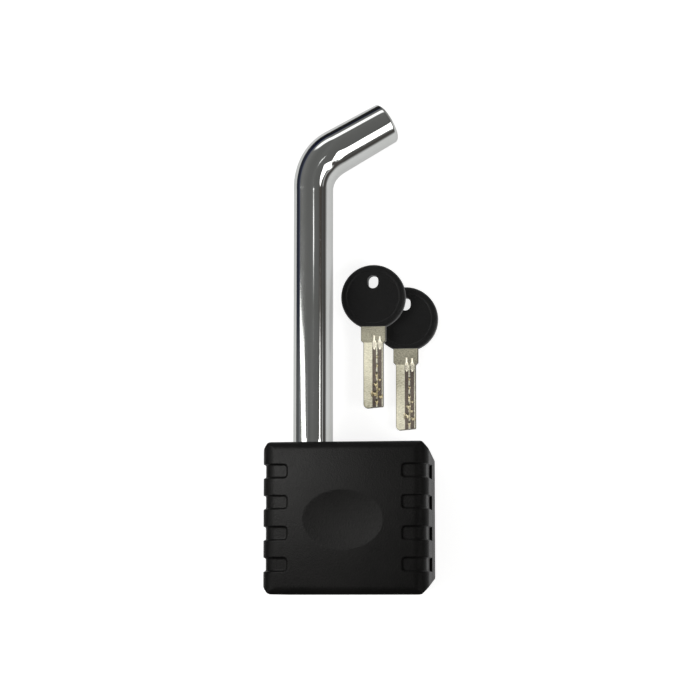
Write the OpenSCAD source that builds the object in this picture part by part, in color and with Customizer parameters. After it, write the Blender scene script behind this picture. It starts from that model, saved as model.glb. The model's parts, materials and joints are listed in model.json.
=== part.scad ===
// Hitch pin lock: a bent 5/8 inch pin that plugs into a key-operated lock head,
// with its two dimple keys lying beside it.
// Origin: on the pin's axis, in the plane of the lock head's entry face.
// +Y runs along the pin toward its bend, +Z is up, away from the surface it lies on.

/* [Pin] */
// Diameter of the pin's shank
pin_d = 15.875; // [15.8:0.005:15.9]
// Straight shank from the head's face to the start of the bend
shank_len = 102.6; // [90:0.1:115]
// Centreline radius of the bend
bend_r = 18; // [16:0.5:24]
// Bend angle away from the shank
bend_angle = 59; // [40:1:75]
// Diameter of the bent arm
arm_d = 17.1; // [16.4:0.1:17.6]
// Diameter at the arm's root, upset by the bend
arm_root_d = 18.2; // [16.4:0.1:18.4]
// Straight length of the bent arm
arm_len = 25.4; // [20:0.1:32]
// Droop of the arm about the shank, so that its tip lies on the surface
arm_droop = 16; // [0:0.1:18]
// Length of the pin inside the head
pin_in = 45; // [44:0.1:46]

/* [Lock head] */
// Width of the head
head_w = 65.2; // [65:0.1:68]
// Height of the head along the pin
head_h = 59.4; // [59.2:0.1:62]
// Thickness of the head
head_t = 33; // [33:0.1:36]
// Distance from the pin's axis to the head's left side
pin_to_left = 17.8; // [17.6:0.1:19]
// Wall thickness of the covers
wall = 2.4; // [2.2:0.1:2.4]
// Rounding of the front edges at the sides
front_round = 5.5; // [4.5:0.1:7]
// Rounding of the front edges at top and bottom
front_round_top = 3; // [2.8:0.1:4]
// Rounding of the rear edges
rear_round = 6; // [5:0.1:7]
// Corner rounding seen from the front, outside its cut
corner_r = 3.2; // [2.8:0.1:3.4]
// Leg of the flat cut across each corner, near the front face
corner_cut = 3.1; // [2.4:0.1:3.2]
// Growth of the corner cut toward the back, in degrees
corner_lean = 6; // [3:0.5:7]

/* [Grip and dish] */
// Grip grooves on each side
grip_count = 4; // [3:1:4]
// Spacing of the grip grooves
grip_pitch = 12.1; // [11.8:0.1:12.6]
// Width of a grip groove
grip_w = 5.25; // [4:0.05:6]
// Reach of a grip groove across the face
grip_len = 10.2; // [8:0.1:11]
// Depth of a grip groove
grip_depth = 0.95; // [0.8:0.05:1.3]
// Half width of the oval dish
dish_a = 15.8; // [12:0.1:17]
// Half height of the oval dish
dish_b = 11.7; // [9:0.1:12.5]
// Depth of the oval dish
dish_depth = 1.2; // [0.8:0.05:1.3]

/* [Lock] */
// Distance from the pin's axis to the key cylinder's axis
cyl_x = 28.4; // [28.2:0.1:28.6]
// Radius of the cylinder plug
plug_r = 5.95; // [5.93:0.01:5.97]
// Throw radius of the cam pin
cam_throw = 2.8; // [2.7:0.05:2.8]
// Number of tumblers
tumblers = 5; // [4:1:5]
// Spacing of the tumblers
tumbler_pitch = 4.1; // [4:0.05:4.2]

/* [Keys] */
// Diameter of a key's bow
bow_d = 26; // [25:0.1:26.4]
// Thickness of a key's bow
bow_t = 5.2; // [4.6:0.1:5.2]
// Width of a key's blade
blade_w = 8; // [7.4:0.1:8.2]
// Thickness of a key's blade
blade_t = 2.4; // [2:0.1:2.4]
// Distance from the bow's centre to the key's tip
key_reach = 45; // [43:0.1:46]

/* [Hidden] */
$fn = 64;
e = 0.01;
big = 200;

pin_r = pin_d / 2;
bore_r = pin_r + 0.06;
x0 = -pin_to_left;
x1 = head_w - pin_to_left;
y0 = -head_h;
zh = head_t / 2;
cx = (x0 + x1) / 2;
cy = y0 / 2;
face_in = zh - wall;
block_gap = 0.1;

// screws that hold the two covers together, through the block
screw_pts = [[x0 + 7.4, -8.4], [x0 + 7.4, y0 + 8.4], [x1 - 7.2, -8.4], [x1 - 7.2, y0 + 8.4]];

// locking bolt and the pin's annular groove
bolt_y0 = -25.5;
bolt_y1 = -20.5;
groove_r = 5;
bolt_nose = 9.2;
bolt_tail = cyl_x + 6.2;

// key cylinder
cyl_y0 = y0 + wall + block_gap;
cyl_y1 = -31.5;
shell_r = 8.5;
crank = cam_throw * sin(45);
tumbler_y0 = cyl_y0 + 5.4;

// keyhole door
door_ax = 18.6;
door_ay = y0 + 1.3;
door_x1 = 38.2;
door_z = 9.5;
door_t = 1.4;

// where the keys lie
table = -zh;
key_2_at = [35.6, 51, table + bow_t / 2];
key_1_at = [23.15, 59.55, table + bow_t * 1.5 + 0.12];

// rounded rectangle between two corners
module rrect(ax, ay, bx, by, r) {
    translate([ax + r, ay]) square([bx - ax - 2 * r, by - ay]);
    translate([ax, ay + r]) square([bx - ax, by - ay - 2 * r]);
    for (x = [ax + r, bx - r], y = [ay + r, by - r]) translate([x, y]) circle(r);
}

// the head's outer form, drawn in by i all round: rx and ry round its long edges
module pillow(i, rx, ry) {
    difference() {
        pillow_block(i, rx, ry);
        // each corner is cut flat, deeper toward the back
        for (c = [[x1, 0, 45], [x0, 0, 135], [x0, y0, 225], [x1, y0, 315]])
            translate([c[0], c[1], 11]) rotate([0, 0, c[2]])
                translate([-(corner_cut / sqrt(2) + i), 0, 0]) rotate([0, corner_lean, 0])
                    translate([0, -40, -60]) cube([60, 80, 120]);
    }
}

module pillow_block(i, rx, ry) {
    intersection() {
        linear_extrude(big, center = true) rrect(x0 + i, y0 + i, x1 - i, -i, corner_r - i);
        translate([0, big / 2, 0]) rotate([90, 0, 0]) linear_extrude(big)
            rrect(x0 + i, -zh + i, x1 - i, zh - i, rx - i);
        translate([-big / 2, 0, 0]) rotate([90, 0, 90]) linear_extrude(big)
            rrect(y0 + i, -zh + i, -i, zh - i, ry - i);
    }
}

module upper() { translate([-big / 2, -big / 2, 0]) cube([big, big, big]); }
module lower() { translate([-big / 2, -big / 2, -big]) cube([big, big, big]); }
module front_half(i) { intersection() { pillow(i, front_round, front_round_top); upper(); } }
module rear_half(i) { intersection() { pillow(i, rear_round, rear_round); lower(); } }

// four grip grooves on each side, as flat slabs
module grip_slabs() {
    for (k = [0 : grip_count - 1]) {
        y = cy + (k - (grip_count - 1) / 2) * grip_pitch;
        for (s = [0, 1])
            translate([s == 0 ? x0 : x1, y, 0]) mirror([s, 0, 0])
                translate([0, 0, -1]) linear_extrude(zh + 2)
                    rrect(-4, -grip_w / 2, grip_len, grip_w / 2, 1.4);
    }
}

// the shallow oval dish: an outer curve of two different radii
module dish_cutter() {
    ra = dish_a * dish_a / (2 * dish_depth);
    rb = dish_b * dish_b / (2 * dish_depth);
    translate([cx - 0.7, cy - 0.8, zh - dish_depth + ra]) rotate([90, 0, 0])
        rotate_extrude($fn = 180) intersection() {
            translate([ra - rb, 0]) circle(rb, $fn = 180);
            translate([0, -dish_b * 2]) square([ra + 10, dish_b * 4]);
        }
}

module pin_notch() { translate([0, 1, 0]) rotate([90, 0, 0]) cylinder(h = wall + 3, r = pin_r + 0.3); }

// opening, seat and hinge pocket for the keyhole door
module door_cut() {
    translate([door_ax, y0 - 1, -door_z - 0.1])
        cube([door_x1 + 0.15 - door_ax, 1 + door_t + 0.15, 2 * door_z + 0.2]);
    translate([door_ax - 1.6, y0 - 1, -door_z - 0.1]) cube([1.65, 1 + 1.3, 2 * door_z + 0.2]);
    translate([door_ax, door_ay, -door_z - 0.1]) cylinder(h = 2 * door_z + 0.2, r = 1.35);
    translate([cyl_x, y0 + wall + 1, 0]) rotate([90, 0, 0]) cylinder(h = wall + 2, r = 7.6);
    translate([door_ax, door_ay, -12.1]) cylinder(h = 24.2, r = 0.62);
}

module front_cover() {
    color([0.10, 0.10, 0.10]) difference() {
        union() {
            difference() {
                union() {
                    difference() { front_half(0); grip_slabs(); }
                    front_half(grip_depth);
                }
                front_half(wall);

            }
            for (p = screw_pts) translate([p[0], p[1], 6.2]) cylinder(h = face_in - 5.7, r = 3.4);
        }
        dish_cutter();
        pin_notch();
        door_cut();
        for (p = screw_pts) translate([p[0], p[1], 6]) cylinder(h = 6.2, r = 1.5);
    }
}

module rear_cover() {
    color([0.09, 0.09, 0.09]) difference() {
        union() {
            difference() { rear_half(0); rear_half(wall); }
            for (p = screw_pts) translate([p[0], p[1], -face_in - 0.4]) cylinder(h = 3.3, r = 3.4);
        }
        pin_notch();
        door_cut();
        for (p = screw_pts) {
            translate([p[0], p[1], -zh - 1]) cylinder(h = 1 + 3.2, r = 2.95);
            translate([p[0], p[1], -zh]) cylinder(h = 8, r = 1.65);
        }
    }
}

module cover_screws() {
    color([0.55, 0.55, 0.56]) for (p = screw_pts) translate([p[0], p[1], -zh + 1]) difference() {
        union() {
            cylinder(h = 2.2, r = 2.75);
            cylinder(h = 27.2, r = 1.48);
        }
        translate([0, 0, -1]) cylinder(h = 2.3, r = 1.35, $fn = 6);
    }
}

// cast block that carries the whole mechanism
module lock_body() {
    g = wall + block_gap;
    color([0.60, 0.61, 0.62]) difference() {
        union() { front_half(g); rear_half(g); }
        // pin bore, its seal seat
        translate([0, 1, 0]) rotate([90, 0, 0]) cylinder(h = 48, r = bore_r);
        translate([0, -g + 1, 0]) rotate([90, 0, 0]) cylinder(h = 1 + 2.3, r = 10.3);
        // cover screws and their bosses
        for (p = screw_pts) {
            translate([p[0], p[1], -zh]) cylinder(h = head_t, r = 1.65);
            translate([p[0], p[1], 6]) cylinder(h = 12, r = 3.5);
            translate([p[0], p[1], -zh]) cylinder(h = 5.6, r = 3.5);
        }
        // key cylinder bore, its tumbler housing and the cam space
        translate([cyl_x, cyl_y1 + 0.1, 0]) rotate([90, 0, 0]) cylinder(h = 40, r = shell_r + 0.05);
        translate([cyl_x - 4.1, y0 - 1, 0]) cube([8.2, cyl_y1 + 0.1 - y0 + 1, 20]);
        translate([cyl_x, bolt_y0 + 0.5, 0]) rotate([90, 0, 0]) cylinder(h = 7, r = 7.2);
        // bolt pocket, nose passage and the plate's seat
        translate([15.6, bolt_y0 - 0.08, -6.1]) cube([bolt_tail + 0.4 - 15.6, 5.16, 30]);
        translate([4, bolt_y0 - 0.08, -4.1]) cube([14, 5.16, 8.2]);
        translate([11.9, -31.3, 12]) cube([26.2, 16.6, 10]);
        for (x = [14.5, 35.4]) translate([x, -17.5, 8]) cylinder(h = 8, r = 1.2);
        // retaining screw
        translate([cyl_x, -45, 0]) rotate([0, 90, 0]) cylinder(h = 30, r = 2);
        // door hinge pocket
        translate([door_ax, door_ay, -door_z - 0.6]) cylinder(h = 2 * door_z + 1.2, r = 1.6);
    }
}

module hitch_pin() {
    lead = 1.6;
    color([0.80, 0.81, 0.83]) rotate([0, arm_droop, 0]) {
        difference() {
            translate([0, shank_len, 0]) rotate([90, 0, 0]) cylinder(h = shank_len + pin_in - lead, r = pin_r);
            // relief under the cover's edge, and the locking groove
            for (g = [[0.15, 1.9, pin_r - 0.35], [bolt_y1 + 0.6, 6.2, groove_r]])
                translate([0, g[0], 0]) rotate([90, 0, 0]) difference() {
                    cylinder(h = g[1], r = pin_r + 2);
                    translate([0, 0, -1]) cylinder(h = g[1] + 2, r = g[2]);
                }
        }
        translate([0, -pin_in + lead, 0]) rotate([90, 0, 0]) cylinder(h = lead, r1 = pin_r, r2 = pin_r - lead);
        // bend, let into the straight runs by one degree at each end
        translate([bend_r, shank_len, 0]) rotate([0, 0, 179 - bend_angle])
            rotate_extrude(angle = bend_angle + 2, $fn = 180) translate([bend_r, 0]) circle(pin_r - 0.03, $fn = 64);
        // arm, with its flare and its broken tip edge
        translate([bend_r, shank_len, 0]) rotate([0, 0, -bend_angle]) translate([-bend_r, 0, 0])
            rotate([-90, 0, 0]) {
                cylinder(h = 5, r1 = pin_r, r2 = arm_root_d / 2);
                translate([0, 0, 5]) cylinder(h = arm_len - 6, r1 = arm_root_d / 2, r2 = arm_d / 2);
                translate([0, 0, arm_len - 1]) cylinder(h = 1, r1 = arm_d / 2, r2 = arm_d / 2 - 1);
            }
    }
}

module pin_seal() {
    color([0.05, 0.05, 0.05]) translate([0, -wall - block_gap - 1.15, 0]) rotate([90, 0, 0])
        rotate_extrude() translate([pin_r + 0.06 + 1.1, 0]) circle(1.1, $fn = 32);
}

module locking_bolt() {
    color([0.62, 0.63, 0.64]) difference() {
        union() {
            translate([bolt_nose, bolt_y0, -4]) cube([20 - bolt_nose, 5, 8]);
            translate([20, bolt_y0, -6]) cube([bolt_tail - 20, 5, 12]);
        }
        translate([cyl_x + crank - 1.7, bolt_y0 - 1, 0.2]) cube([3.4, 7, 4.5]);
    }
}

module bolt_pocket_plate() {
    color([0.66, 0.66, 0.67]) difference() {
        union() {
            translate([12, -31.2, 12]) cube([26, 16.4, face_in - 12.3]);
            translate([15.7, bolt_y0, 6.1]) cube([bolt_tail + 0.2 - 15.7, 5, 6.2]);
        }
        for (x = [14.5, 35.4]) translate([x, -17.5, 11]) {
            cylinder(h = 6, r = 1.3);
            translate([0, 0, 1.9]) cylinder(h = 4, r = 2.3);
        }
    }
}

module plate_screws() {
    color([0.55, 0.55, 0.56]) for (x = [14.5, 35.4]) translate([x, -17.5, 0]) difference() {
        union() {
            translate([0, 0, 8.2]) cylinder(h = 5, r = 1.18);
            translate([0, 0, 12.9]) cylinder(h = 0.9, r = 2.2);
        }
        translate([-1.6, -0.25, 13.4]) cube([3.2, 0.5, 1]);
    }
}

function tumbler_y(k) = tumbler_y0 + k * tumbler_pitch;

module cylinder_shell() {
    color([0.78, 0.66, 0.36]) translate([cyl_x, 0, 0]) difference() {
        union() {
            translate([0, cyl_y1, 0]) rotate([90, 0, 0]) cylinder(h = cyl_y1 - cyl_y0, r = shell_r);
            translate([-4, cyl_y0, 0]) cube([8, cyl_y1 - cyl_y0, 13.6]);
        }
        translate([0, cyl_y1 + 1, 0]) rotate([90, 0, 0]) cylinder(h = 40, r = 6);
        translate([0, cyl_y0 + 1.35, 0]) rotate([90, 0, 0]) cylinder(h = 4, r = 7.05);
        for (k = [0 : tumblers - 1]) translate([0, tumbler_y(k), 1]) cylinder(h = 11.8, r = 1.4);
        translate([-1.75, cyl_y0 + 2, 12.6]) cube([3.5, cyl_y1 - cyl_y0 - 4, 3]);
        for (s = [-1, 1]) translate([s * 7.25, cyl_y0 + 6.6, 0]) rotate([90, 0, 0]) cylinder(h = 7, r = 0.85);
        translate([7.3, -45, 0]) rotate([0, 90, 0]) cylinder(h = 4, r = 1.35);
    }
}

module tumbler_cover() {
    color([0.80, 0.68, 0.38]) translate([cyl_x - 1.7, cyl_y0 + 2.05, 12.62])
        cube([3.4, cyl_y1 - cyl_y0 - 4.1, 0.98]);
}

module plug() {
    color([0.80, 0.69, 0.40]) translate([cyl_x, 0, 0]) difference() {
        union() {
            translate([0, cyl_y0 + 1.3, 0]) rotate([90, 0, 0]) cylinder(h = 1.3, r = 7);
            translate([0, cyl_y1, 0]) rotate([90, 0, 0]) cylinder(h = cyl_y1 - cyl_y0 - 1, r = plug_r);
            translate([0, cyl_y1 + 1.1, 0]) rotate([90, 0, 0]) cylinder(h = 1.2, r = 3);
            translate([-2.1, cyl_y1 + 1, -2.1]) cube([4.2, 1.55, 4.2]);
        }
        // clip groove
        translate([0, cyl_y1 + 0.95, 0]) rotate([90, 0, 0]) difference() {
            cylinder(h = 0.9, r = 3.5);
            translate([0, 0, -1]) cylinder(h = 3, r = 2.4);
        }
        // keyway and tumbler holes
        translate([-blade_w / 2 - 0.05, cyl_y0 - 1, -1.25]) cube([blade_w + 0.1, 26.9, 2.5]);
        for (k = [0 : tumblers - 1]) translate([0, tumbler_y(k), 0.5]) cylinder(h = 8, r = 1.4);
    }
}

module plug_clip() {
    color([0.70, 0.70, 0.71]) translate([cyl_x, cyl_y1 + 0.92, 0]) rotate([90, 0, 0]) difference() {
        cylinder(h = 0.82, r = 7);
        translate([0, 0, -1]) cylinder(h = 3, r = 2.45);
        translate([-1.9, -8, -1]) cube([3.8, 8, 3]);
    }
}

module drive_cam() {
    color([0.66, 0.66, 0.68]) translate([cyl_x, 0, 0]) difference() {
        translate([0, cyl_y1 + 4.9, 0]) rotate([90, 0, 0]) cylinder(h = 3.8, r = 5.6);
        translate([-2.15, cyl_y1, -2.15]) cube([4.3, 2.7, 4.3]);
        translate([crank, cyl_y1 + 6, crank]) rotate([90, 0, 0]) cylinder(h = 3.2, r = 1.5);
    }
}

module cam_pin() {
    color([0.75, 0.75, 0.77]) translate([cyl_x + crank, -21, crank]) rotate([90, 0, 0])
        cylinder(h = -21 - cyl_y1 - 2.8, r = 1.5);
}

module key_pins() {
    color([0.80, 0.68, 0.38]) for (k = [0 : tumblers - 1]) translate([cyl_x, tumbler_y(k), 0]) {
        translate([0, 0, 1.35]) cylinder(h = 0.8, r1 = 0.5, r2 = 1.35);
        translate([0, 0, 2.15]) cylinder(h = 3.55, r = 1.35);
    }
}

module driver_pins() {
    color([0.70, 0.70, 0.72]) for (k = [0 : tumblers - 1])
        translate([cyl_x, tumbler_y(k), 6.1]) cylinder(h = 2.9, r = 1.35);
}

// one coil spring, swept along a helix
module coil_spring(turns, coil_r, wire_r, h, steps, sides) {
    n = turns * steps;
    ring = [for (i = [0 : n]) let (a = 360 * i / steps, z = h * i / n)
        [for (j = [0 : sides - 1]) let (b = 360 * j / sides)
            [(coil_r + wire_r * cos(b)) * cos(a), (coil_r + wire_r * cos(b)) * sin(a), z + wire_r * sin(b)]]];
    pts = [for (r = ring) for (p = r) p];
    sidesf = [for (i = [0 : n - 1]) for (j = [0 : sides - 1]) let (k = (j + 1) % sides)
        each [[i * sides + j, i * sides + k, (i + 1) * sides + k],
              [i * sides + j, (i + 1) * sides + k, (i + 1) * sides + j]]];
    cap0 = [for (j = [1 : sides - 2]) [0, j + 1, j]];
    cap1 = [for (j = [1 : sides - 2]) [n * sides, n * sides + j, n * sides + j + 1]];
    polyhedron(pts, [for (f = concat(sidesf, cap0, cap1)) [f[0], f[2], f[1]]]);
}

module tumbler_springs() {
    color([0.72, 0.72, 0.74]) for (k = [0 : tumblers - 1])
        translate([cyl_x, tumbler_y(k), 9.25]) coil_spring(5, 1.0, 0.2, 3.1, 8, 5);
}

module cylinder_retaining_screw() {
    color([0.30, 0.30, 0.31]) translate([0, -45, 0]) rotate([0, 90, 0]) difference() {
        union() {
            translate([0, 0, 38.2]) cylinder(h = x1 - wall - 0.6 - 38.2, r = 1.98);
            translate([0, 0, cyl_x + 7.5]) cylinder(h = 38.3 - cyl_x - 7.5, r = 1.3);
        }
        translate([0, 0, x1 - wall - 2.6]) cylinder(h = 3, r = 1.1, $fn = 6);
    }
}

module anti_drill_pins() {
    color([0.35, 0.35, 0.37]) for (s = [-1, 1])
        translate([cyl_x + s * 7.25, cyl_y0 + 6.6, 0]) rotate([90, 0, 0]) cylinder(h = 5.1, r = 0.83);
}

module keyhole_door() {
    color([0.08, 0.08, 0.08]) difference() {
        union() {
            translate([door_ax, y0 + 0.05, -door_z]) cube([door_x1 - door_ax, door_t, 2 * door_z]);
            translate([door_ax, door_ay, -door_z]) cylinder(h = 2 * door_z, r = 1.25);
        }
        translate([door_ax, door_ay, -big / 2]) cylinder(h = big, r = 0.65);
        // finger nick at the free end
        translate([door_x1 + 0.6, y0 - 0.6, -3]) cylinder(h = 6, r = 1.5);
    }
}

module door_hinge_pin() {
    color([0.70, 0.70, 0.71]) translate([door_ax, door_ay, -12]) cylinder(h = 24, r = 0.6);
}

// plan of a key's metal part; the bow's centre is the origin, the tip points to -Y
module blade_plan() {
    difference() {
        union() {
            rrect(-blade_w / 2, -key_reach, blade_w / 2, -10, 0.8);
            rrect(-5, -18.9, 5, 1.8, 0.5);
        }
        translate([-blade_w / 2, -key_reach]) polygon([[-1, -1], [2.6, -1], [0, 2.2], [-1, 2.2]]);
        translate([0, -3]) circle(2);
    }
}

module key_blade() {
    color([0.76, 0.72, 0.60]) difference() {
        translate([0, 0, -blade_t / 2]) linear_extrude(blade_t) blade_plan();
        // two milled tracks and the dimples, on both faces
        for (s = [0, 1]) mirror([s, 0, 0]) mirror([0, 0, s]) {
            for (t = [[-0.35, 1.45], [1.75, 1.7]]) translate([t[0], -key_reach + 1.2, blade_t / 2 - 0.4])
                cube([t[1], key_reach - 19, 1]);
            for (k = [0 : tumblers - 1])
                translate([k % 2 == 0 ? 0.6 : 2.4, -24.3 - k * tumbler_pitch, blade_t / 2 - 0.8])
                    cylinder(h = 1.2, r1 = 0.3, r2 = 1.25);
        }
    }
}

module key_bow() {
    br = bow_d / 2;
    r = 1.5;
    color([0.09, 0.09, 0.09]) difference() {
        intersection() {
            // disc with rounded edges and a faintly raised rim
            rotate_extrude($fn = 96) intersection() {
                difference() {
                    rrect(-br, -bow_t / 2, br, bow_t / 2, r);
                    for (s = [-1, 1]) translate([-1, s * bow_t / 2 - 0.3]) square([br - 1.3, 0.6]);
                }
                translate([0, -bow_t]) square([br + 1, 2 * bow_t]);
            }
            translate([-br, -11.95, -bow_t]) cube([2 * br, br + 12, 2 * bow_t]);
        }
        // ring hole
        translate([0, 6.1, -bow_t]) linear_extrude(2 * bow_t) {
            for (s = [-1, 1]) translate([0, s * 0.5]) circle(2.15);
            translate([-2.15, -0.5]) square([4.3, 1]);
        }
        translate([0, 0, -blade_t / 2]) linear_extrude(blade_t) blade_plan();
    }
}

module key_1_bow() { translate(key_1_at) key_bow(); }
module key_1_blade() { translate(key_1_at) key_blade(); }
module key_2_bow() { translate(key_2_at) key_bow(); }
module key_2_blade() { translate(key_2_at) key_blade(); }

front_cover();
rear_cover();
cover_screws();
lock_body();
hitch_pin();
pin_seal();
locking_bolt();
bolt_pocket_plate();
plate_screws();
cylinder_shell();
tumbler_cover();
plug();
plug_clip();
drive_cam();
cam_pin();
key_pins();
driver_pins();
tumbler_springs();
cylinder_retaining_screw();
anti_drill_pins();
keyhole_door();
door_hinge_pin();
key_1_bow();
key_1_blade();
key_2_bow();
key_2_blade();
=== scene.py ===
import json
import math

import bmesh
import bpy
import numpy as np
from mathutils import Matrix, Vector

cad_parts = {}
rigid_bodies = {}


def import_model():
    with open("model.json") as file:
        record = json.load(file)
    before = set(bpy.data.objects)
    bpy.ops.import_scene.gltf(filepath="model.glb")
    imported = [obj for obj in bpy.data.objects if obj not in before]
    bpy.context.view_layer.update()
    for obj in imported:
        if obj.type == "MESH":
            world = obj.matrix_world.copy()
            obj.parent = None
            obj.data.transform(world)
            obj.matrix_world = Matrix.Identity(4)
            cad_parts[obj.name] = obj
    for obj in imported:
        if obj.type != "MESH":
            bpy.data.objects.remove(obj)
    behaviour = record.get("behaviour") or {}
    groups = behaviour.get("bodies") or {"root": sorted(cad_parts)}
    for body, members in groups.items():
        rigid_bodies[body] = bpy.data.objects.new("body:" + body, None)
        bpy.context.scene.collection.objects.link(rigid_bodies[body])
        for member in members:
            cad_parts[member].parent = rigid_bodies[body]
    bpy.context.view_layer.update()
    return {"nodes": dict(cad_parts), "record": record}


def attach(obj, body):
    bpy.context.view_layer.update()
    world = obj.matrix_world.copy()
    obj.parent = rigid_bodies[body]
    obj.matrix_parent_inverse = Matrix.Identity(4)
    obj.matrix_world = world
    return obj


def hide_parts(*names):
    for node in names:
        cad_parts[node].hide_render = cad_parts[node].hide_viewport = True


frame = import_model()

MM = 0.001
scene = bpy.context.scene
scene.view_settings.view_transform = "Standard"
scene.view_settings.look = "None"
scene.view_settings.exposure = 0.0
scene.view_settings.gamma = 1.0

# ---------------------------------------------------------------- camera
cam_data = bpy.data.cameras.new("camera")
cam = bpy.data.objects.new("camera", cam_data)
scene.collection.objects.link(cam)
aim = Vector((14.79, 37.4, 0)) * MM
yaw, tilt, dist = math.radians(8.0), math.radians(6.5), 0.9
toward = Vector((math.sin(yaw) * math.cos(tilt), -math.sin(tilt), math.cos(yaw) * math.cos(tilt)))
right = Vector((0, 1, 0)).cross(toward).normalized()
up = toward.cross(right)
cam.matrix_world = Matrix.Translation(aim + toward * dist) @ Matrix((right, up, toward)).transposed().to_4x4()
cam_data.sensor_width = 36.0
cam_data.lens = 36.0 * 900 / 278.6
cam_data.clip_end = 20
scene.camera = cam

# ---------------------------------------------------------------- materials


class Mat:
    """A small builder for procedural materials on object coordinates, in metres."""

    def __init__(self, name, base, rough, metal=0.0, spec=None, coat=None):
        self.m = bpy.data.materials.new(name)
        self.m.use_nodes = True
        self.nt = self.m.node_tree
        self.b = self.nt.nodes["Principled BSDF"]
        self.b.inputs["Base Color"].default_value = (*base, 1)
        self.b.inputs["Roughness"].default_value = rough
        self.b.inputs["Metallic"].default_value = metal
        if spec is not None:
            self.b.inputs["Specular IOR Level"].default_value = spec
        if coat is not None:
            self.b.inputs["Coat Weight"].default_value = coat[0]
            self.b.inputs["Coat Roughness"].default_value = coat[1]
        self.tc = self.nt.nodes.new("ShaderNodeTexCoord").outputs["Object"]
        self.normal = None

    def link(self, a, b):
        self.nt.links.new(a, b)

    def stretch(self, scale, rot=(0, 0, 0)):
        n = self.nt.nodes.new("ShaderNodeMapping")
        n.inputs["Scale"].default_value = scale
        n.inputs["Rotation"].default_value = rot
        self.link(self.tc, n.inputs["Vector"])
        return n.outputs["Vector"]

    def noise(self, scale, detail=3, rough=0.5, vec=None):
        n = self.nt.nodes.new("ShaderNodeTexNoise")
        n.inputs["Scale"].default_value = scale
        n.inputs["Detail"].default_value = detail
        n.inputs["Roughness"].default_value = rough
        self.link(vec if vec is not None else self.tc, n.inputs["Vector"])
        return n.outputs["Fac"]

    def voronoi(self, scale, feature="F1", vec=None):
        n = self.nt.nodes.new("ShaderNodeTexVoronoi")
        n.feature = feature
        n.inputs["Scale"].default_value = scale
        self.link(vec if vec is not None else self.tc, n.inputs["Vector"])
        return n.outputs["Distance"]

    def remap(self, src, a, b, c, d):
        n = self.nt.nodes.new("ShaderNodeMapRange")
        for k, v in zip(("From Min", "From Max", "To Min", "To Max"), (a, b, c, d)):
            n.inputs[k].default_value = v
        self.link(src, n.inputs["Value"])
        return n.outputs["Result"]

    def ramp(self, src, stops):
        n = self.nt.nodes.new("ShaderNodeValToRGB")
        el = n.color_ramp.elements
        while len(el) < len(stops):
            el.new(0.5)
        for e, (p, c) in zip(el, stops):
            e.position = p
            e.color = (*c, 1)
        self.link(src, n.inputs["Fac"])
        return n.outputs["Color"]

    def mathn(self, op, a, b):
        n = self.nt.nodes.new("ShaderNodeMath")
        n.operation = op
        for i, v in enumerate((a, b)):
            if isinstance(v, (int, float)):
                n.inputs[i].default_value = v
            else:
                self.link(v, n.inputs[i])
        return n.outputs[0]

    def bump(self, height, strength, distance):
        n = self.nt.nodes.new("ShaderNodeBump")
        n.inputs["Strength"].default_value = strength
        n.inputs["Distance"].default_value = distance
        self.link(height, n.inputs["Height"])
        if self.normal is not None:
            self.link(self.normal, n.inputs["Normal"])
        self.normal = n.outputs["Normal"]
        self.link(self.normal, self.b.inputs["Normal"])

    def color(self, src):
        self.link(src, self.b.inputs["Base Color"])

    def rough(self, src):
        self.link(src, self.b.inputs["Roughness"])


def moulded(name, base, light, rough, grain_mm, depth, spec=0.5):
    """Moulded plastic: a spark-eroded grain, faint flow marks and slightly polished high spots."""
    a = Mat(name, base, rough, spec=spec)
    fine = a.noise(1000 / grain_mm, 2, 0.6)
    cells = a.voronoi(1000 / (grain_mm * 1.6))
    broad = a.noise(45, 3, 0.55)
    mottle = a.mathn("ADD", a.mathn("MULTIPLY", fine, 0.45), a.mathn("MULTIPLY", broad, 0.55))
    a.color(a.ramp(mottle, [(0.30, base), (0.72, light)]))
    a.rough(a.remap(a.mathn("ADD", fine, a.mathn("MULTIPLY", broad, 0.8)), 0.5, 1.2, rough - 0.06, rough + 0.12))
    a.bump(a.mathn("ADD", fine, a.mathn("MULTIPLY", cells, 0.6)), depth, grain_mm * MM * 0.5)
    return a.m


def metal(name, base, light, rough, brush=None, grain=900.0, depth=0.15, spread=0.08, metallic=1.0):
    """Bare or plated metal: directional tool marks (brush is their direction's stretch), stains and fine pits."""
    a = Mat(name, base, rough, metallic)
    vec = a.stretch(brush) if brush else None
    lines = a.noise(grain, 4, 0.65, vec)
    stain = a.noise(60, 3, 0.5)
    a.color(a.ramp(a.mathn("ADD", a.mathn("MULTIPLY", lines, 0.5), a.mathn("MULTIPLY", stain, 0.5)), [(0.32, base), (0.68, light)]))
    a.rough(a.remap(a.mathn("ADD", lines, stain), 0.6, 1.4, max(rough - spread, 0.03), rough + spread))
    a.bump(lines, depth, 0.00004)
    return a.m


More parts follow.
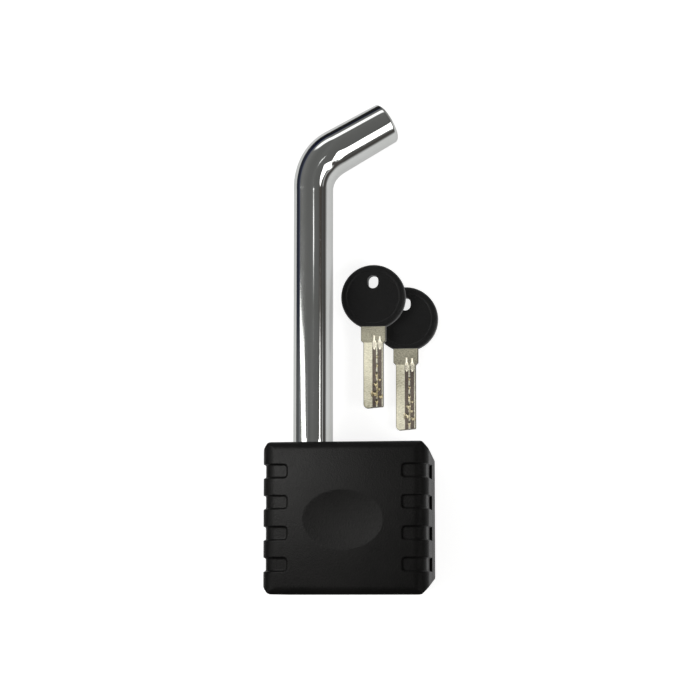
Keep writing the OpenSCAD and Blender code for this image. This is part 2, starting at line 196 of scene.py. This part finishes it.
M = {
    "cover_plastic": moulded("cover_plastic", (0.0006, 0.00058, 0.00056), (0.0046, 0.0044, 0.0042), 0.40, 0.36, 0.42, 0.075),
    "door_plastic": moulded("door_plastic", (0.0015, 0.0014, 0.0014), (0.0055, 0.0053, 0.005), 0.42, 0.4, 0.3, 0.12),
    "bow_plastic": moulded("bow_plastic", (0.0022, 0.0022, 0.0024), (0.005, 0.005, 0.0052), 0.5, 0.3, 0.5, 0.26),
    "cast_block": metal("cast_block", (0.33, 0.335, 0.34), (0.5, 0.5, 0.5), 0.5, None, 700, 0.5),
    "zinc_steel": metal("zinc_steel", (0.52, 0.54, 0.56), (0.68, 0.69, 0.7), 0.3, None, 1500, 0.2),
    "plate_steel": metal("plate_steel", (0.5, 0.51, 0.52), (0.66, 0.66, 0.66), 0.32, (1, 14, 1), 500, 0.3),
    "hard_steel": metal("hard_steel", (0.42, 0.42, 0.43), (0.6, 0.6, 0.6), 0.25, (16, 1, 1), 400, 0.3),
    "dark_steel": metal("dark_steel", (0.09, 0.09, 0.10), (0.16, 0.16, 0.165), 0.42, None, 1200, 0.3),
    "spring_steel": metal("spring_steel", (0.55, 0.56, 0.57), (0.7, 0.7, 0.71), 0.22, None, 2500, 0.2),
    "cylinder_brass": metal("cylinder_brass", (0.50, 0.37, 0.15), (0.68, 0.53, 0.26), 0.3, (1, 20, 1), 350, 0.35),
    "plug_brass": metal("plug_brass", (0.54, 0.41, 0.18), (0.72, 0.57, 0.3), 0.26, (1, 20, 1), 350, 0.35),
    "tumbler_brass": metal("tumbler_brass", (0.55, 0.42, 0.19), (0.72, 0.58, 0.31), 0.24, (1, 1, 18), 500, 0.3),
    "key_metal": metal("key_metal", (0.16, 0.155, 0.115), (0.88, 0.85, 0.69), 0.36, (1.5, 5, 1.5), 700, 0.6, 0.08, 0.9),
    # a darker colour for the blade's shoulder next to the bow, outside the tracks
    "key_shoulder_darker": metal("key_shoulder_darker", (0.02, 0.019, 0.014), (0.50, 0.48, 0.38), 0.4, (1.5, 3, 1.5), 900, 0.7, 0.08, 0.9),
    # painted shade: the milled track floors get a dark colour for the shade in the recess
    "key_track_painted_shade": metal("key_track_painted_shade", (0.022, 0.016, 0.015), (0.20, 0.17, 0.145), 0.36, (1.5, 5, 1.5), 900, 0.6),
    # painted highlight: the tracks' run-out ramps get a bright cream colour for the reflection they catch
    "key_ramp_painted_highlight": metal("key_ramp_painted_highlight", (0.80, 0.76, 0.62), (0.94, 0.90, 0.76), 0.3, (1.5, 8, 1.5), 700, 0.3, 0.08, 0.7),
    "key_dimple": metal("key_dimple", (0.45, 0.34, 0.14), (0.97, 0.90, 0.66), 0.34, None, 1600, 0.5),
    # painted shade: the blade's outline band and side walls get a near-black colour for the dark edges
    "key_edge_painted_shade": metal("key_edge_painted_shade", (0.03, 0.027, 0.021), (0.13, 0.12, 0.09), 0.4, None, 900, 0.4),
}


def chrome_mat():
    a = Mat("pin_chrome", (0.45, 0.455, 0.45), 0.06, 1.0)
    a.b.inputs["Specular Tint"].default_value = (0.8, 0.8, 0.8, 1)
    lines = a.noise(260, 4, 0.6, a.stretch((1, 9, 1)))
    smudge = a.noise(38, 4, 0.6)
    pits = a.noise(2200, 2, 0.5)
    a.color(a.ramp(smudge, [(0.3, (0.428, 0.437, 0.423)), (0.7, (0.473, 0.478, 0.478))]))
    a.rough(a.remap(a.mathn("ADD", smudge, a.mathn("MULTIPLY", pits, 0.5)), 0.5, 1.0, 0.035, 0.09))
    a.bump(a.noise(55, 2, 0.5, a.stretch((1, 0.35, 1))), 0.25, 0.00035)
    a.bump(lines, 0.12, 0.00003)
    return a.m


def rubber_mat():
    a = Mat("seal_rubber", (0.02, 0.02, 0.02), 0.75)
    n = a.noise(1800, 3, 0.6)
    a.color(a.ramp(n, [(0.3, (0.015, 0.015, 0.015)), (0.7, (0.032, 0.032, 0.032))]))
    a.bump(n, 0.4, 0.0001)
    return a.m


M["pin_chrome"] = chrome_mat()
M["seal_rubber"] = rubber_mat()

for sub in frame["record"]["subparts"]:
    o = frame["nodes"][sub["node"]]
    o.data.materials.clear()
    o.data.materials.append(M[sub["material_slot"]])

# ---------------------------------------------------------------- mesh helpers


def make(name, verts, faces, mat, body, node, smooth=True):
    me = bpy.data.meshes.new(name)
    me.from_pydata([tuple(v) for v in verts], [], [tuple(f) for f in faces])
    me.validate()
    me.materials.append(M[mat])
    o = bpy.data.objects.new(name, me)
    scene.collection.objects.link(o)
    if smooth:
        me.shade_smooth()
    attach(o, body)
    if node:
        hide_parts(node)
    return o


def apply_all(o):
    dg = bpy.context.evaluated_depsgraph_get()
    me = bpy.data.meshes.new_from_object(o.evaluated_get(dg))
    old = o.data
    o.modifiers.clear()
    o.data = me
    me.name = o.name
    bpy.data.meshes.remove(old)
    return o


def softened(node, name, voxel, iters, mat, body, factor=0.5):
    """The CAD solid with every edge broken, as a moulded piece has them."""
    src = frame["nodes"][node]
    me = src.data.copy()
    o = bpy.data.objects.new(name, me)
    scene.collection.objects.link(o)
    bm = bmesh.new()
    bm.from_mesh(me)
    bmesh.ops.remove_doubles(bm, verts=bm.verts, dist=2e-6)
    bm.to_mesh(me)
    bm.free()
    r = o.modifiers.new("remesh", "REMESH")
    r.mode = "VOXEL"
    r.voxel_size = voxel * MM
    s = o.modifiers.new("smooth", "SMOOTH")
    s.factor = factor
    s.iterations = iters
    apply_all(o)
    o.data.materials.clear()
    o.data.materials.append(M[mat])
    o.data.shade_smooth()
    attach(o, body)
    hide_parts(node)
    return o


# ---------------------------------------------------------------- the pin
PIN_R, ARM_R, TIP_R, BEND_R = 7.9375, 9.1, 8.55, 18.0
SHANK, BEND, ARM, DROOP = 102.6, 59.0, 25.4, 16.0


def fillet_profile(pts, r, n=4):
    """Rounds each inner corner of a profile of (distance, radius) pairs."""
    out = [pts[0]]
    for a, b, c in zip(pts, pts[1:], pts[2:]):
        a, b, c = map(np.array, (a, b, c))
        la, lc = np.linalg.norm(a - b), np.linalg.norm(c - b)
        t = min(r, la * 0.45, lc * 0.45)
        p, q = b + (a - b) / la * t, b + (c - b) / lc * t
        for i in range(n + 1):
            k = i / n
            out.append(tuple((1 - k) ** 2 * p + 2 * k * (1 - k) * b + k * k * q))
    out.append(pts[-1])
    return out


def pin_mesh(sides=128):
    end = SHANK + BEND_R * math.radians(BEND) + ARM
    bend0, bend1 = SHANK, SHANK + BEND_R * math.radians(BEND)
    prof = fillet_profile([(-45, 0.0), (-45, PIN_R - 1.6), (-43.4, PIN_R), (-26.1, PIN_R), (-26.1, 5.0), (-19.9, 5.0),
                           (-19.9, PIN_R), (-1.75, PIN_R), (-1.75, PIN_R - 0.35), (0.1, PIN_R - 0.35), (0.1, PIN_R), (2.0, PIN_R)], 0.22)
    for s in np.linspace(3, bend0 - 2, 40)[:-1]:
        prof.append((s, PIN_R))
    for s in np.linspace(bend0 - 2, bend1, 66):
        k = min(max((s - bend0 + 2) / ((bend1 - bend0) * 0.97 + 2), 0), 1)
        k = k * k * (3 - 2 * k)
        prof.append((s, PIN_R + (ARM_R - PIN_R) * k))
    for s in np.linspace(bend1 + 1, end - 3, 14):
        prof.append((s, ARM_R + (TIP_R - ARM_R) * (s - bend1) / (end - bend1)))
    prof += fillet_profile([(end - 2, TIP_R + 0.04), (end - 1.0, TIP_R), (end - 0.02, TIP_R - 1.05), (end - 0.02, 6.0), (end - 0.25, 5.0), (end - 0.25, 0.0)], 0.5, 5)
    verts, rings, axis = [], [], []
    for s, r in prof:
        if s <= bend0:
            c, t = np.array([0, s, 0.0]), 0.0
        elif s <= bend1:
            t = (s - bend0) / BEND_R
            c = np.array([BEND_R - BEND_R * math.cos(t), SHANK + BEND_R * math.sin(t), 0])
        else:
            t = math.radians(BEND)
            c = np.array([BEND_R - BEND_R * math.cos(t), SHANK + BEND_R * math.sin(t), 0]) + (s - bend1) * np.array([math.sin(t), math.cos(t), 0])
        n = np.array([math.cos(t), -math.sin(t), 0])
        if r < 1e-6:
            rings.append([len(verts)])
            verts.append(c)
            axis.append(c)
            continue
        ring = []
        for i in range(sides):
            a = 2 * math.pi * i / sides
            ring.append(len(verts))
            verts.append(c + r * (math.cos(a) * n + math.sin(a) * np.array([0, 0, 1.0])))
            axis.append(c)
        rings.append(ring)
    faces = []
    for a, b in zip(rings, rings[1:]):
        if len(a) == 1:
            faces += [(a[0], b[i], b[(i + 1) % sides]) for i in range(sides)]
        elif len(b) == 1:
            faces += [(a[(i + 1) % sides], a[i], b[0]) for i in range(sides)]
        else:
            faces += [(a[i], b[i], b[(i + 1) % sides], a[(i + 1) % sides]) for i in range(sides)]
    d = math.radians(DROOP)
    rot = np.array([[math.cos(d), 0, math.sin(d)], [0, 1, 0], [-math.sin(d), 0, math.cos(d)]])
    verts, axis = np.array(verts) @ rot.T, np.array(axis) @ rot.T
    # shallow marks that the bending tool left inside the bend
    for at, deep, size in (((12.2, 115.9, 5.6), 0.11, 1.3), ((6.4, 110.4, 6.3), 0.12, 1.2), ((9.2, 113.3, 6.2), -0.13, 1.0)):
        k = deep * np.exp(-np.sum((verts - np.array(at)) ** 2, 1) / (2 * size * size))
        out = verts - axis
        out /= np.maximum(np.linalg.norm(out, axis=1, keepdims=True), 1e-6)
        verts = verts - out * k[:, None]
    return verts * MM, faces


v, f = pin_mesh()
pin = make("bent_pin", v, f, "pin_chrome", "pin", "hitch_pin")
bm = bmesh.new()
bm.from_mesh(pin.data)
bmesh.ops.recalc_face_normals(bm, faces=bm.faces)
bm.to_mesh(pin.data)
bm.free()

# ---------------------------------------------------------------- key blades
KEY_REACH, BLADE_T, HALF_W = 45.0, 2.4, 3.99


def smoothstep(a, b, x):
    k = np.clip((x - a) / (b - a), 0, 1)
    return k * k * (3 - 2 * k)


def spread(lo, hi, fine, coarse, edge):
    """Samples from lo to hi, fine within edge of both ends."""
    a = list(np.arange(lo, lo + edge, fine))
    b = list(np.arange(lo + edge, hi - edge, coarse))
    c = list(np.arange(hi - edge, hi, fine))
    return np.array(a + b + c + [hi])


def half(y):
    return HALF_W + (4.98 - HALF_W) * (1 - smoothstep(-17.5, -18.8, y))


def bottom(x):
    b = -KEY_REACH + 0.085 * (x + 3.8)
    r = 1.9
    left = np.clip(r - (x + HALF_W), 0, r)
    b = b + r - np.sqrt(np.maximum(r * r - left * left, 0))
    q = 0.5
    rt = np.clip(q - (HALF_W - x), 0, q)
    return b + q - np.sqrt(np.maximum(q * q - rt * rt, 0))


def blade_cut(x, y, part="all"):
    """Depth milled away from a face at x, y: two tracks, their run-out ramps and the coded dimples."""
    depth = np.zeros_like(x)
    for x0, x1, d, y_in in ((-0.42, 1.16, 0.62, -15.0), (1.72, 3.5, 0.62, -15.3)):
        across = smoothstep(x0, x0 + 0.22, x) * (1 - smoothstep(x1 - 0.22, x1, x))
        narrow = 0.35 + 0.65 * smoothstep(-17.0, -18.4, y)
        mid, half = (x0 + x1) / 2, (x1 - x0) / 2
        across = across * (np.abs(x - mid) < half * narrow)
        along = smoothstep(y_in, y_in - 0.7, y) * 0.30 + 0.70 * smoothstep(-17.2, -21.4, y)
        depth = np.maximum(depth, d * across * along)
    if part == "tracks":
        return depth
    for cx, cy, r, d in ((1.45, -24.2, 0.50, 0.40), (1.50, -27.7, 0.62, 0.50), (1.20, -31.6, 0.95, 0.85), (2.55, -33.4, 0.85, 0.95),
                         (0.85, -35.3, 1.15, 1.00), (2.35, -37.2, 0.95, 0.90), (0.55, -39.0, 1.25, 1.05), (2.75, -40.2, 1.0, 1.0),
                         (1.15, -42.3, 0.85, 0.85)):
        rr = np.hypot(x - cx, (y - cy) * 0.8)
        depth = np.maximum(depth, d * np.clip(1.25 - rr / r * 1.05, 0, 1))
    return depth


def blade_mesh():
    ys = np.concatenate([np.arange(1.8, -14.4, -0.9), np.arange(-14.4, -38.0, -0.1)])
    us = spread(-1, 1, 0.018, 0.024, 0.12)
    tip = np.concatenate([np.linspace(0, 0.9, 44)[1:], 1 - 0.1 * np.cos(np.linspace(0, math.pi / 2, 12))[1:]])

    rows = []
    for y in ys:
        rows.append(np.stack([us * float(half(np.array(y))), np.full_like(us, y)], 1))
    xe = us * HALF_W
    yb = bottom(xe)
    for k in tip:
        rows.append(np.stack([xe, -38.0 + (yb + 38.0) * k], 1))
    g = np.array(rows)
    x, y = g[..., 0], g[..., 1]
    # distance to the outline, for the broken edge
    hw = np.where(y > -38.0, half(y), HALF_W)
    d = np.minimum(hw - np.abs(x), y - bottom(x))
    r = 0.16
    dd = np.clip(r - d, 0, r)
    edge = r - np.sqrt(np.maximum(r * r - dd * dd, 0))
    edge = np.where(y > -11.9, 0, edge)
    top = BLADE_T / 2 - np.maximum(edge, np.where(y > -12.0, 0, blade_cut(x, y)) * (d > 0.02))
    under = -BLADE_T / 2 + np.maximum(edge, np.where(y > -12.0, 0, blade_cut(-x, y)) * (d > 0.02))
    n, m = x.shape
    verts = [(x[i, j], y[i, j], top[i, j]) for i in range(n) for j in range(m)]
    verts += [(x[i, j], y[i, j], under[i, j]) for i in range(n) for j in range(m)]
    off = n * m
    faces = []
    for i in range(n - 1):
        for j in range(m - 1):
            a, b, c, e = i * m + j, i * m + j + 1, (i + 1) * m + j + 1, (i + 1) * m + j
            faces.append((a, e, c, b))
            faces.append((off + a, off + b, off + c, off + e))
    rim = [j for j in range(m)] + [i * m + m - 1 for i in range(1, n)] + [(n - 1) * m + j for j in range(m - 2, -1, -1)] + [i * m for i in range(n - 2, 0, -1)]
    for a, b in zip(rim, rim[1:] + rim[:1]):
        faces.append((a, b, off + b, off + a))
    return np.array(verts), faces


KEY_2_AT = np.array([35.6, 51.0, -16.5 + 2.6])
KEY_1_AT = np.array([23.15, 59.55, -16.5 + 7.8 + 0.12])
bv, bf = blade_mesh()
for n, at in ((1, KEY_1_AT), (2, KEY_2_AT)):
    blade = make(f"key_{n}_cut_blade", (bv + at) * MM, bf, "key_metal", f"key_{n}", f"key_{n}_blade")
    blade.data.set_sharp_from_angle(angle=math.radians(38))
    for k in ("key_track_painted_shade", "key_ramp_painted_highlight", "key_dimple", "key_edge_painted_shade", "key_shoulder_darker"):
        blade.data.materials.append(M[k])
    c = np.empty(len(blade.data.polygons) * 3)
    blade.data.polygons.foreach_get("center", c)
    c = c.reshape(-1, 3) / MM - at
    side = np.where(c[:, 2] > 0, c[:, 0], -c[:, 0])
    # the track depth picks the faces that get the painted shade colour of the track floors
    track, cut = blade_cut(side, c[:, 1], "tracks"), blade_cut(side, c[:, 1])
    inside = np.minimum(np.where(c[:, 1] > -38.0, half(c[:, 1]), HALF_W) - np.abs(c[:, 0]), c[:, 1] - bottom(c[:, 0]))
    off = np.abs(np.where(side < 1.44, (side - 0.37) / 0.79, (side - 2.61) / 0.89))
    # the band on the ramps, its lower end curving with the track, that carries the painted highlight
    painted_highlight_streak = (c[:, 1] > -21.2 + 1.8 * off ** 2) & (off < 0.78)
    # outside the tracks, faces above y = -18.4 next to the bow take the darker shoulder colour
    kind = np.where(track > 0.12, np.where(painted_highlight_streak, 2, 1), np.where(c[:, 1] > -18.4, 5, 0))
    kind = np.where(cut > track + 0.04, 3, kind)
    # faces within 0.22 mm of the outline and the side walls take the painted shade colour of the edges
    kind = np.where((inside < 0.22) | (np.abs(c[:, 2]) < BLADE_T / 2 - 1.15), 4, kind)
    blade.data.polygons.foreach_set("material_index", kind.astype(np.int32))

# ---------------------------------------------------------------- moulded pieces
softened("front_cover", "front_cover_shell", 0.3, 5, "cover_plastic", "lock_head")
softened("rear_cover", "rear_cover_shell", 0.3, 5, "cover_plastic", "lock_head")
softened("keyhole_door", "keyhole_flap", 0.14, 5, "door_plastic", "door")
softened("key_1_bow", "key_1_head", 0.16, 5, "bow_plastic", "key_1")
softened("key_2_bow", "key_2_head", 0.16, 5, "bow_plastic", "key_2")

# ---------------------------------------------------------------- floor and light
# a pale card under the lock; past its edges the same white goes on, but metal doesn't mirror it
fm = Mat("floor_white", (0.5, 0.5, 0.497), 0.9, spec=0.0)
fm.b.inputs["Emission Color"].default_value = (1, 1, 1, 1)
fm.b.inputs["Emission Strength"].default_value = 0.82
fm.color(fm.ramp(fm.noise(8, 2), [(0.3, (0.497, 0.497, 0.494)), (0.7, (0.503, 0.503, 0.5))]))


def floor_piece(name, quads):
    me = bpy.data.meshes.new(name)
    vs, fs = [], []
    for q in quads:
        fs.append(tuple(range(len(vs), len(vs) + len(q))))
        vs += [(x, y, -16.53 * MM) for x, y in q]
    me.from_pydata(vs, [], fs)
    me.materials.append(fm.m)
    o = bpy.data.objects.new(name, me)
    scene.collection.objects.link(o)
    return o


CARD = [(-0.075, 0.134), (-0.016, 0.166), (0.022, 0.158), (0.040, 0.143), (3, 0.143)]
NEAR = -0.0605
floor_piece("floor", [[(CARD[0][0], NEAR), (3, NEAR)] + CARD[::-1]])
outer = floor_piece("floor_outer", [[(-3, -3), (3, -3), (3, NEAR), (-3, NEAR)],
                                    [(-3, NEAR), (CARD[0][0], NEAR), CARD[0], (-3, CARD[0][1])],
                                    [(-3, CARD[0][1])] + CARD + [(3, 3), (-3, 3)]])
outer.visible_glossy = False


class Sky:
    """The studio round the lock as a function of direction: dim walls, a dark ring low down, and a few soft boxes."""

    def __init__(self):
        self.w = bpy.data.worlds.new("studio")
        scene.world = self.w
        self.w.use_nodes = True
        self.nt = self.w.node_tree
        self.bg = self.nt.nodes["Background"]
        tc = self.nt.nodes.new("ShaderNodeTexCoord")
        sep = self.nt.nodes.new("ShaderNodeSeparateXYZ")
        self.nt.links.new(tc.outputs["Generated"], sep.inputs[0])
        self.x, self.y, self.z = sep.outputs
        self.phi = self.m("MULTIPLY", self.m("ARCTAN2", self.x, self.z), 180 / math.pi)
        self.el = self.m("MULTIPLY", self.m("ARCSINE", self.y), 180 / math.pi)

    def m(self, op, a, b=None, c=None):
        n = self.nt.nodes.new("ShaderNodeMath")
        n.operation = op
        for k, v in enumerate((a, b, c)):
            if v is None:
                continue
            if isinstance(v, (int, float)):
                n.inputs[k].default_value = v
            else:
                self.nt.links.new(v, n.inputs[k])
        return n.outputs[0]

    def lin(self, a, b, c):
        """a*phi + b*el + c"""
        return self.m("ADD", self.m("ADD", self.m("MULTIPLY", self.phi, a), self.m("MULTIPLY", self.el, b)), c)

    def step(self, v, lo, hi):
        n = self.nt.nodes.new("ShaderNodeMapRange")
        n.interpolation_type = "SMOOTHSTEP"
        n.inputs["From Min"].default_value, n.inputs["From Max"].default_value = lo, hi
        self.nt.links.new(v, n.inputs["Value"])
        return n.outputs["Result"]

    def box(self, sides, soft=2.0):
        """1 inside every side, each a value that is positive on the inside, in degrees"""
        out = None
        for v in sides:
            k = self.step(v, -soft / 2, soft / 2)
            out = k if out is None else self.m("MULTIPLY", out, k)
        return out

    def ramp(self, v, stops):
        n = self.nt.nodes.new("ShaderNodeValToRGB")
        el = n.color_ramp.elements
        while len(el) < len(stops):
            el.new(0.5)
        for e, (at, col) in zip(el, stops):
            e.position, e.color = at, (*col, 1)
        self.nt.links.new(v, n.inputs["Fac"])
        return n.outputs["Color"]

    def add(self, a, b, gain, col=(1, 1, 1)):
        """a + b*gain*col, b a number and a a colour"""
        n = self.nt.nodes.new("ShaderNodeMix")
        n.data_type, n.blend_type, n.clamp_result, n.clamp_factor = "RGBA", "ADD", False, False
        n.inputs["B"].default_value = (0, 0, 0, 1)
        sock = {k.identifier: k for k in n.inputs}
        sock["Factor_Float"].default_value = 1.0
        self.nt.links.new(a, sock["A_Color"])
        v = self.nt.nodes.new("ShaderNodeVectorMath")
        v.operation = "SCALE"
        v.inputs[0].default_value = tuple(c * gain for c in col)
        self.nt.links.new(b, v.inputs["Scale"])
        self.nt.links.new(v.outputs[0], sock["B_Color"])
        return [o for o in n.outputs if o.identifier == "Result_Color"][0]


sky = Sky()
# walls: (angle from straight up toward +X, radiance, tint)
walls = [(-180, 0.12, 0), (-112, 0.07, 0), (-100, 0.06, 1), (-86, 0.05, 1), (-79, 0.16, 1), (-73, 0.30, 0), (-60, 0.33, 0), (-46, 0.28, 0),
         (-26, 0.235, 0), (-8, 0.235, 0), (3, 0.26, 0), (15, 0.235, 0), (28, 0.22, 0), (38, 0.20, 0), (46, 0.12, 2), (56, 0.105, 2), (61, 0.15, 0),
         (67, 0.15, 0), (72, 0.10, 2), (83, 0.15, 0), (88, 0.75, 0), (102, 0.95, 0), (130, 0.5, 0), (180, 0.12, 0)]
tints = [(1.0, 1.0, 0.985), (0.78, 0.88, 1.35), (1.14, 1.0, 0.9)]
t01 = sky.m("MULTIPLY_ADD", sky.phi, 1 / 360, 0.5)
col = sky.ramp(t01, [((a + 180) / 360, tuple(v * t for t in tints[k])) for a, v, k in walls])
# the dim ring low in the far (+Y) and near (-Y) directions
ring = sky.m("MULTIPLY", sky.step(sky.m("ABSOLUTE", sky.el), 38, 56), sky.m("SUBTRACT", 1.0, sky.step(sky.z, 0.02, 0.34)))
col = sky.add(col, ring, -0.04)
# left soft box
top = sky.lin(-0.05, -1, 4.05)
left = sky.m("SUBTRACT", sky.m("ADD", sky.phi, 75), sky.m("MINIMUM", sky.m("MULTIPLY", sky.m("MAXIMUM", sky.m("SUBTRACT", 6.9, sky.el), 0), 6.5), 15))
near = sky.m("ADD", sky.lin(-1, 0, -44), sky.m("MULTIPLY", sky.m("MINIMUM", sky.m("SUBTRACT", 6.2, sky.el), 3.0), 4.7))
col = sky.add(col, sky.box([sky.lin(1, 0, 104), sky.lin(-1, 0, -65), sky.lin(0, -1, 6.5)], 2.0), 0.13, (1.06, 1.05, 0.86))
col = sky.add(col, sky.m("MULTIPLY", sky.box([left, near], 1.4), sky.box([top, sky.lin(0, 1, 20)], 0.8)), 4.5, (1.0, 1.0, 0.98))
# right soft box and the thin line beside it
edge = sky.m("ADD", sky.lin(1, 0, -47.2), sky.m("MULTIPLY", sky.m("MINIMUM", sky.m("SUBTRACT", 7.0, sky.el), 14.0), 0.893))
col = sky.add(col, sky.box([edge, sky.lin(-1, -0.40, 52.0), sky.lin(0, 1, 26.5), sky.lin(0, -1, 6.9)], 1.8), 4.5, (1.0, 1.0, 0.985))
col = sky.add(col, sky.box([sky.lin(1, 0, -61), sky.lin(-1, 0, 67.5), sky.lin(0, -1, 6.6), sky.lin(0, 1, 30)], 2.0), 0.55)
# light over the far end, and the small lamp near the axis
far = sky.m("MULTIPLY", sky.m("MULTIPLY", sky.step(sky.z, 0.24, 0.36), sky.m("SUBTRACT", 1.0, sky.step(sky.z, 0.46, 0.56))), sky.step(sky.y, 0.70, 0.78))
far = sky.m("MULTIPLY", far, sky.m("SUBTRACT", 1.0, sky.step(sky.x, 0.0, 0.2)))
col = sky.add(col, far, 2.6)
lamp = sky.m("MULTIPLY", sky.box([sky.lin(1, 0, -6.8), sky.lin(-1, 0, 12.2)], 2.2), sky.box([sky.lin(0, 1, -8.7), sky.lin(0, -1, 10.5)], 0.6))
col = sky.add(col, lamp, 2.6)
col = sky.add(col, sky.box([sky.lin(1, 0, 28.5), sky.lin(-1, 0, -22.5), sky.lin(0, -1, 5.4), sky.lin(0, 1, 12)], 2.0), 0.25)
sky.nt.links.new(col, sky.bg.inputs["Color"])
sky.bg.inputs["Strength"].default_value = 1.0



def linked_lamp(name, at, look, size, watts, color, prefixes):
    """A small area lamp that lights only the named pieces."""
    data = bpy.data.lights.new(name, "AREA")
    data.shape = "DISK"
    data.size = size
    data.energy = watts
    data.color = color
    o = bpy.data.objects.new(name, data)
    scene.collection.objects.link(o)
    o.matrix_world = Matrix.Translation(Vector(at)) @ (Vector(at) - Vector(look)).to_track_quat("Z", "Y").to_matrix().to_4x4()
    only = bpy.data.collections.new(name + "_receivers")
    for k in bpy.data.objects:
        if k.type == "MESH" and k.name.startswith(prefixes):
            only.objects.link(k)
    o.light_linking.receiver_collection = only
    o.visible_camera = False
    return o


linked_lamp("head_lamp", (-0.033, -0.003, 0.117), (-0.005, -0.016, 0.016), 0.03, 0.135, (1.0, 0.99, 0.97), ("front_cover", "rear_cover"))
linked_lamp("key_lamp", (-0.016, 0.068, 0.29), (0.030, 0.030, -0.01), 0.12, 0.10, (1.0, 0.98, 0.93), ("key_1_cut", "key_2_cut"))

for k in ("key_1_cut_blade", "key_2_cut_blade", "key_1_head", "key_2_head"):
    bpy.data.objects[k].visible_glossy = False
